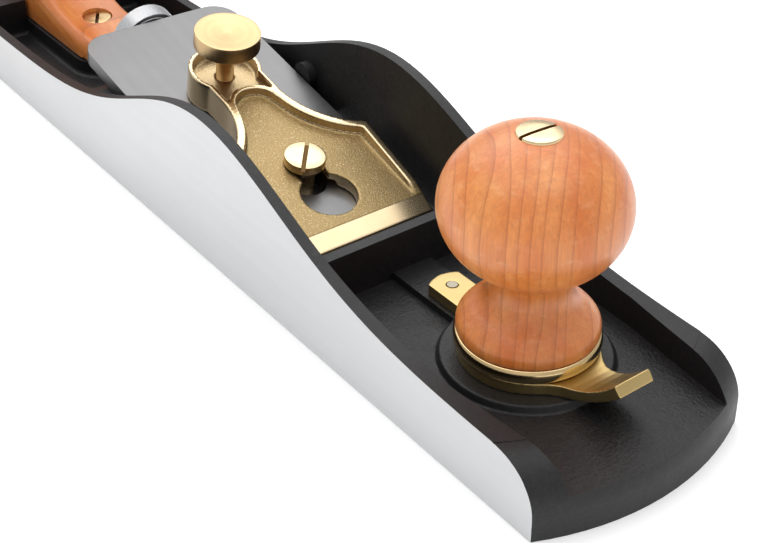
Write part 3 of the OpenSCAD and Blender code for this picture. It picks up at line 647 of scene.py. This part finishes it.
def slotted(name, outline, top, slot_width, slot_depth, slot_turn, reach):
    """A turned fastener with a screwdriver slot sawn across its head."""
    piece = turned(name, outline, 96, 30)
    bpy.ops.object.select_all(action="DESELECT")
    bpy.ops.mesh.primitive_cube_add(size=1, location=(0, 0, (top - slot_depth / 2 + 0.5) * MM))
    saw = bpy.context.object
    saw.dimensions = (slot_width * MM, 2 * reach * MM, (slot_depth + 1) * MM)
    bpy.ops.object.transform_apply(location=False, rotation=False, scale=True)
    put(saw, saw.location, (0, 0, math.radians(slot_turn)))
    cut_with(piece, saw)
    bpy.ops.object.shade_smooth_by_angle(angle=math.radians(30))
    across_slot = Vector((math.cos(math.radians(slot_turn)), math.sin(math.radians(slot_turn)), 0))
    # The slot's walls are marked by the slot attribute, where the brass material paints shade.
    walls = []
    for face in piece.data.polygons:
        middle = face.center / MM
        inside = abs(middle.dot(across_slot)) < slot_width / 2 + 0.02
        walls.append(inside and top - slot_depth - 0.02 < middle.z < top - 0.05 and middle.xy.length < reach)
    shade = piece.data.attributes.new("slot", "FLOAT", "FACE")
    for face, wall in zip(piece.data.polygons, walls):
        shade.data[face.index].value = 1.0 if wall else 0.0
    return piece


HEAD_BRASS = ("#e8d2ac", "#d8bf94", 0.24)
BARREL_R = 4.3
nut_z = crown_z - 0.8
nut_top = nut_z + 1.6
outline = [(0, nut_z - 20), (BARREL_R, nut_z - 20), (BARREL_R, nut_z), (NUT_R, nut_z), (NUT_R, nut_top - 0.5)]
outline += [(NUT_R - 0.15, nut_top - 0.22), (NUT_R - 0.55, nut_top - 0.1), (2.6, nut_top + 0.02)]
outline += [(0, nut_top + 0.05)]
knob_nut = slotted("crown_nut", outline, nut_top, 1.0, 1.2, -3, 8)
put(knob_nut, (KNOB_X, 0, 0))
knob_nut.data.materials.append(lathe_brass("crown_nut_brass", (KNOB_X, 0, 0), (0, 0, 0), *HEAD_BRASS))
fit(knob_nut, "knob", "brass", "knob_nut")

CAP_SCREW_S, CAP_SCREW_R, BLADE_TOP = 47.3, 5.8, 4.5


def bed_place(s, h):
    """The point s up the bed from the mouth and h above the bed, in millimetres."""
    return Vector((MOUTH_X, 0, 0)) + UP_BED * (s * MM) + OFF_BED * (h * MM)


seat = BLADE_TOP + 5.27
head_top = seat + 2.8
outline = [(0, -6), (3.4, -6), (3.4, seat - 0.4), (3.7, seat), (5.5, seat), (CAP_SCREW_R, seat + 0.3)]
outline += [(CAP_SCREW_R, head_top - 0.4), (CAP_SCREW_R - 0.1, head_top - 0.12), (5.4, head_top)]
outline += [(2.5, head_top), (0, head_top)]
cap_screw = slotted("keyhole_screw", outline, head_top, 1.3, 1.3, 51, 8)
cap_screw_foot = bed_place(CAP_SCREW_S, 0)
put(cap_screw, cap_screw_foot, (0, BED_ANGLE, 0))
cap_screw.data.materials.append(
    lathe_brass("keyhole_screw_brass", cap_screw_foot, (0, -BED_ANGLE, 0), *HEAD_BRASS))
fit(cap_screw, "casting", "brass", "lever_cap_screw")

TOE_SCREW_X, TOE_SCREW_R, TOE_SHANK_R, TOE_HEAD_T, PAD_Z = -84.0, 4.6, 2.4, 2.6, 10.0
toe_top = PAD_Z + 8.2
recess_z = toe_top - TOE_HEAD_T
outline = [(0, 2.2), (TOE_SHANK_R, 2.2), (TOE_SHANK_R, recess_z), (TOE_SCREW_R, recess_z)]
outline += [(TOE_SCREW_R, toe_top - 0.4), (4.3, toe_top - 0.12), (3.6, toe_top), (0, toe_top)]
toe_screw = slotted("toe_screw", outline, toe_top, 1.1, 1.2, 60, 6)
put(toe_screw, (TOE_SCREW_X * MM, 0, 0))
toe_screw.data.materials.append(lathe_brass("toe_screw_brass", (TOE_SCREW_X * MM, 0, 0), (0, 0, 0)))
fit(toe_screw, "casting", "brass", "handle_toe_screw")

ROD_X, ROD_LEAN, ROD_NUT_R = -132.0, math.radians(14), 6
rod_foot = (ROD_X * MM, 0, PAD_Z * MM)
rod_top = (90 - 6) / math.cos(ROD_LEAN)
nut_seat, barrel_seat = rod_top - 3, rod_top - 19
outline = [(0, barrel_seat), (BARREL_R, barrel_seat), (BARREL_R, nut_seat), (ROD_NUT_R, nut_seat)]
outline += [(ROD_NUT_R, rod_top - 0.6), (5.7, rod_top - 0.2), (5.1, rod_top - 0.05)]
outline += [(2.5, rod_top), (0, rod_top)]
rod_nut = slotted("handle_crown_nut", outline, rod_top, 1.3, 1.3, 0, 8)
put(rod_nut, rod_foot, (0, ROD_LEAN, 0))
rod_nut.data.materials.append(lathe_brass("handle_nut_brass", rod_foot, (0, -ROD_LEAN, 0), *HEAD_BRASS))
fit(rod_nut, "casting", "brass", "handle_nut")

# ---------------------------------------------------------------- blade
# A thick flat plane iron of tool steel, ground lengthwise on both faces, with its bevel up.
# Its rear corners are rounded.

blade_steel = machined("blade_steel", (90, 2400, 900), "#747475", "#7c7c7c", 0.38, turn=(0, -BED_ANGLE, 0))

iron = cad_copy("plane_iron", "blade")
finish_edges(iron, 0.25 * MM)
iron.data.materials.append(blade_steel)
fit(iron, "blade", "blade_steel", "blade")

# ---------------------------------------------------------------- adjuster
# A knurled steel wheel on a threaded stud under the blade. Its flange runs in a groove in the
# blade and carries it forward and back.

WHEEL_R, WHEEL_S0, WHEEL_S1, WHEEL_DROP = 10.5, 132.0, 138.0, -4.5
FLANGE_S0, FLANGE_S1, FLANGE_R, NECK_R, WHEEL_BORE = 124.8, 127.0, 6.3, 4.2, 2.87
outline = [(WHEEL_BORE, FLANGE_S0), (6.0, FLANGE_S0), (FLANGE_R, FLANGE_S0 + 0.3)]
outline += [(FLANGE_R, FLANGE_S1 - 0.3), (6.0, FLANGE_S1), (NECK_R, FLANGE_S1), (NECK_R, WHEEL_S0)]
outline += [(WHEEL_R - 1.6, WHEEL_S0), (WHEEL_R - 0.9, WHEEL_S0 + 0.7), (WHEEL_R - 0.9, WHEEL_S1 - 0.7)]
outline += [(WHEEL_R - 1.6, WHEEL_S1), (5.4, WHEEL_S1), (5.0, WHEEL_S1 - 0.4)]
outline += [(WHEEL_BORE, WHEEL_S1 - 0.4), (WHEEL_BORE, FLANGE_S0)]
RIDGE_STEP = 2.5
wheel = turned("adjuster_hub", outline, 72)
bpy.ops.object.select_all(action="DESELECT")
bpy.ops.mesh.primitive_cylinder_add(
    vertices=288, radius=(WHEEL_R - 0.25) * MM, depth=(WHEEL_S1 - WHEEL_S0 - 0.3) * MM,
    location=(0, 0, (WHEEL_S0 + WHEEL_S1) / 2 * MM))
knurl = bpy.context.object
bpy.ops.object.transform_apply(location=True)
bpy.ops.object.mode_set(mode="EDIT")
bpy.ops.mesh.select_all(action="DESELECT")
shape = bmesh.from_edit_mesh(knurl.data)
for face in shape.faces:
    if abs(face.normal.z) < 0.5:
        face.select = math.degrees(math.atan2(face.normal.y, face.normal.x)) % RIDGE_STEP < RIDGE_STEP / 2
bmesh.update_edit_mesh(knurl.data)
bpy.ops.mesh.inset(thickness=0.03 * MM, use_individual=True)
bpy.ops.mesh.extrude_region_shrink_fatten(TRANSFORM_OT_shrink_fatten={"value": 0.2 * MM})
bpy.ops.object.mode_set(mode="OBJECT")
wheel.select_set(True)
bpy.context.view_layer.objects.active = wheel
bpy.ops.object.join()
wheel = bpy.context.object
put(wheel, bed_place(0, WHEEL_DROP), (0, BED_ANGLE - math.pi / 2, 0))
bright, tree, shader = new_material("knurled_steel")
place = object_place(tree)
rubbed = noise(tree, place, 900, 3)
tree.links.new(blend_colour(tree, rubbed, linear("#c4c6c8"), linear("#d6d7d9")), shader.inputs["Base Color"])
tree.links.new(ramp(tree, rubbed, 0.3, 0.7, 0.34, 0.44), shader.inputs["Roughness"])
raise_bump(tree, shader, rubbed, 0.00002)
shader.inputs["Metallic"].default_value = 1.0
wheel.data.materials.append(bright)
fit(wheel, "adjuster", "bright_steel", "adjuster_wheel")


def threaded(name, direction, turn=(0, 0, 0)):
    """Bright steel with a screw thread along one axis."""
    material, tree, shader = new_material(name)
    place = stretched(tree, object_place(tree), (1, 1, 1), turn)
    feeds = {"Vector": place, "Scale": 314.0, "Distortion": 0.0}
    thread = add_node(tree, "ShaderNodeTexWave", feeds, bands_direction=direction)
    wear = noise(tree, place, 700, 3)
    colour = blend_colour(tree, wear, linear("#8d8f92"), linear("#b2b4b7"))
    tree.links.new(colour, shader.inputs["Base Color"])
    tree.links.new(ramp(tree, wear, 0.3, 0.7, 0.3, 0.42), shader.inputs["Roughness"])
    raise_bump(tree, shader, thread.outputs["Fac"], 0.0002)
    shader.inputs["Metallic"].default_value = 1.0
    return material


def clothe(node, material):
    """Gives a material to a CAD piece that stays."""
    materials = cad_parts[node].data.materials
    materials.clear()
    materials.append(material)


clothe("adjuster_stud", threaded("threaded_steel", "X", (0, -BED_ANGLE, 0)))

# ---------------------------------------------------------------- knob stud and handle rod
# Two threaded steel rods hidden in the wood: one from the mouth plate up into the knob's nut,
# the other from the casting up through the handle.

rod_steel = threaded("rod_steel", "Z")
for name in ("knob_stud", "handle_rod"):
    clothe(name, rod_steel)

# ---------------------------------------------------------------- lever cap
# A sand-cast bronze cap. Its rim and front band are polished, and the sunk field keeps the
# grain of the mould. It clamps the blade under the screw in its keyhole.

bronze, tree, shader = new_material("cast_bronze")
place = object_place(tree)
skin = use_group(tree, sand, {"Vector": place, "Grains per metre": 2400.0, "Coarse": 0.35})
lines = use_group(tree, grinding, {"Vector": place, "Along": (500, 500, 500)})
cast = add_node(tree, "ShaderNodeAttribute", attribute_name="sand").outputs["Fac"]
polished = blend_colour(tree, lines.outputs["Shade"], linear("#d8c096"), linear("#e6d0ac"))
rough_cast = blend_colour(tree, skin.outputs["Glint"], linear("#9a845c"), linear("#dccaa2"))
tree.links.new(blend_colour(tree, cast, polished, rough_cast), shader.inputs["Base Color"])
marks = use_group(tree, smudges, {"Vector": place, "Amount": 0.06})
satin = maths(tree, "ADD", marks.outputs[0], 0.22)
tree.links.new(maths(tree, "ADD", satin, maths(tree, "MULTIPLY", cast, 0.2)), shader.inputs["Roughness"])
grit = maths(tree, "MULTIPLY", skin.outputs["Height"], cast)
scratches = maths(tree, "MULTIPLY", lines.outputs["Height"], 0.03)
raise_bump(tree, shader, maths(tree, "ADD", grit, scratches), 0.00012)
shader.inputs["Metallic"].default_value = 1.0

cap = cast_copy("bronze_cap", "lever_cap", 0.36 * MM, 9)
FIELD_LINE = [(17.3, 2.5), (52, 5.1), (78, 6.7)]


def along(line, s):
    """The height on a broken line at a place s."""
    for (s0, h0), (s1, h1) in zip(line, line[1:]):
        if s <= s1:
            return h0 + (h1 - h0) * max(0.0, (s - s0) / (s1 - s0))
    return line[-1][1]


sandy = cap.data.attributes.new("sand", "FLOAT", "POINT")
for vertex in cap.data.vertices:
    from_mouth = (vertex.co - Vector((MOUTH_X, 0, 0))) / MM
    s, h = from_mouth.dot(UP_BED), from_mouth.dot(OFF_BED) - BLADE_TOP
    above = h - along(FIELD_LINE, s)
    upwards = max(0.0, vertex.normal.dot(OFF_BED))
    sunk = min(1.0, max(0.0, (1.6 - above) / 0.8))
    on_field = 23.7 < s < 78.5 and upwards > 0.25 and above > -0.4
    in_pocket = s > 74 and upwards > 0.25 and h < 8.0
    sandy.data[vertex.index].value = sunk if on_field else 0.6 if in_pocket else 0.0
cap.data.materials.append(bronze)
fit(cap, "lever_cap", "bronze", "lever_cap")

# ---------------------------------------------------------------- cap thumbwheel
# A turned brass wheel, faced to a shallow cone, on a brass screw that bears on the blade and
# tightens the cap.

THUMB_S, THUMB_R, THUMB_TOP, THUMB_T = 89.6, 9.5, 26.9, 5.0
THUMB_TURN = (0, -BED_ANGLE, 0)
thumb_place = bed_place(THUMB_S, 0)
thumb_under = THUMB_TOP - THUMB_T
thumb_foot = thumb_under - 1.6
outline = [(2.7, thumb_foot), (4.1, thumb_foot), (4.4, thumb_foot + 0.3), (4.4, thumb_under)]
outline += [(THUMB_R - 0.3, thumb_under), (THUMB_R, thumb_under + 0.3), (THUMB_R, THUMB_TOP - 0.35)]
outline += [(THUMB_R - 0.12, THUMB_TOP - 0.08), (THUMB_R - 0.4, THUMB_TOP), (THUMB_R - 1.0, THUMB_TOP - 0.05)]
outline += [(0.4, THUMB_TOP - 0.75), (0, THUMB_TOP - 0.78)]
thumbwheel = turned("brass_thumbwheel", outline, 128)
put(thumbwheel, thumb_place, (0, BED_ANGLE, 0))
thumbwheel.data.materials.append(
    lathe_brass("thumbwheel_brass", thumb_place, THUMB_TURN, "#d0b58a", "#bb9f75", 0.34, 0.00004))
fit(thumbwheel, "thumbwheel", "brass", "cap_thumbwheel")

stem_top = THUMB_TOP - 2.6
THREAD_LOW_R, THREAD_R, THREAD_STEP = 2.3, 2.6, 0.5
outline = [(0, 4.65), (1.8, 4.65), (THREAD_LOW_R, 5.0)]
for i in range(28):
    z = 5.1 + i * THREAD_STEP
    outline += [(THREAD_LOW_R, z), (THREAD_R, z + THREAD_STEP / 2)]
outline += [(THREAD_R, stem_top), (0, stem_top)]
stem = turned("thumbwheel_screw", outline, 48, 20)
put(stem, thumb_place, (0, BED_ANGLE, 0))
stem.data.materials.append(lathe_brass("stem_brass", thumb_place, THUMB_TURN, "#d4ac74", "#bf945c", 0.32))
fit(stem, "thumb_lift", "brass", "thumbwheel_stem")

# ---------------------------------------------------------------- rear handle
# A shaped cherry handle, sawn from a board with its grain running fore and aft, rounded with
# rasps and oiled. A rod and a toe screw hold it on its pad.

HANDLE_TOE, HANDLE_HEEL, HANDLE_L, HANDLE_H, HANDLE_W = -63.0, -153.0, 90.0, 90.0, 24.0
SIDE_VIEW = [
    (0.02, 0), (0.30, 0), (0.62, 0), (0.97, 0), (1, 0.035), (0.94, 0.075), (0.80, 0.09), (0.66, 0.115),
    (0.545, 0.19), (0.49, 0.33), (0.52, 0.50), (0.60, 0.66), (0.69, 0.80), (0.70, 0.88),
    (0.62, 0.955), (0.46, 0.99), (0.28, 0.985), (0.10, 0.935), (-0.01, 0.885), (0.02, 0.835),
    (0.13, 0.77), (0.185, 0.64), (0.185, 0.48), (0.14, 0.28), (0.06, 0.10)]

bpy.ops.object.select_all(action="DESELECT")
side_view = curve_through(SIDE_VIEW + [SIDE_VIEW[0]], 5)[:-1]
bpy.ops.mesh.primitive_circle_add(vertices=len(side_view), radius=10 * MM, fill_type="NGON")
handle = bpy.context.object
handle.name = "cherry_handle"
for vertex, (share_x, share_z) in zip(handle.data.vertices, side_view):
    x, z = HANDLE_HEEL + HANDLE_L * share_x, PAD_Z + HANDLE_H * max(share_z, 0)
    vertex.co = Vector((x, -HANDLE_W / 2, z)) * MM
bpy.ops.object.mode_set(mode="EDIT")
bpy.ops.mesh.select_all(action="SELECT")
bpy.ops.mesh.extrude_region_move(TRANSFORM_OT_translate={"value": (0, HANDLE_W * MM, 0)})
bpy.ops.mesh.select_all(action="SELECT")
bpy.ops.mesh.normals_make_consistent(inside=False)
bpy.ops.object.mode_set(mode="OBJECT")

bpy.ops.object.select_all(action="DESELECT")
bpy.ops.mesh.primitive_cylinder_add(vertices=96, radius=HANDLE_W / 2 * MM, depth=220 * MM, location=(0, 0, 0))
round_toe = bpy.context.object
bpy.ops.object.mode_set(mode="EDIT")
bpy.ops.mesh.select_all(action="DESELECT")
shape = bmesh.from_edit_mesh(round_toe.data)
for vertex in shape.verts:
    vertex.select = vertex.co.x < 0.1 * MM
shape.select_flush_mode()
bmesh.update_edit_mesh(round_toe.data)
bpy.ops.transform.resize(value=(0, 1, 1), center_override=(-120 * MM, 0, 0))
bpy.ops.object.mode_set(mode="OBJECT")
for vertex in round_toe.data.vertices:
    if vertex.co.x < -100 * MM:
        vertex.co.y = math.copysign(HANDLE_W / 2 * MM, vertex.co.y)
put(round_toe, ((HANDLE_TOE - HANDLE_W / 2) * MM, 0, 60 * MM))
cut_with(handle, round_toe, "INTERSECT")

pick(handle)
skin = handle.modifiers.new("skin", "REMESH")
skin.mode = "VOXEL"
skin.voxel_size = 0.9 * MM
bpy.ops.object.modifier_apply(modifier="skin")
shaped = handle.vertex_groups.new(name="shaped")
for vertex in handle.data.vertices:
    lift = (vertex.co.z / MM - PAD_Z - 0.5) / 2.5
    shaped.add([vertex.index], min(1.0, max(0.0, lift)), "REPLACE")
rasp = handle.modifiers.new("rasp", "SMOOTH")
rasp.factor = 0.5
rasp.iterations = 130
rasp.vertex_group = "shaped"
bpy.ops.object.modifier_apply(modifier="rasp")

recess = turned("toe_recess", [(0, 8), (2.7, 8), (2.7, recess_z), (4.9, recess_z), (4.9, 40), (0, 40)], 64)
put(recess, (TOE_SCREW_X * MM, 0, 0))
cut_with(handle, recess)
outline = [(0, -8), (3.1, -8), (3.1, barrel_seat), (4.6, barrel_seat), (4.6, nut_seat), (6.3, nut_seat)]
recess = turned("rod_recess", outline + [(6.3, 110), (0, 110)], 64)
put(recess, rod_foot, (0, ROD_LEAN, 0))
cut_with(handle, recess)
bpy.ops.object.shade_smooth_by_angle(angle=math.radians(40))
handle.data.materials.clear()
handle.data.materials.append(cherry_finish("handle_cherry", (-0.108, 0, 0.05), (0, math.radians(76), 0)))
fit(handle, "casting", "cherry", "rear_handle")
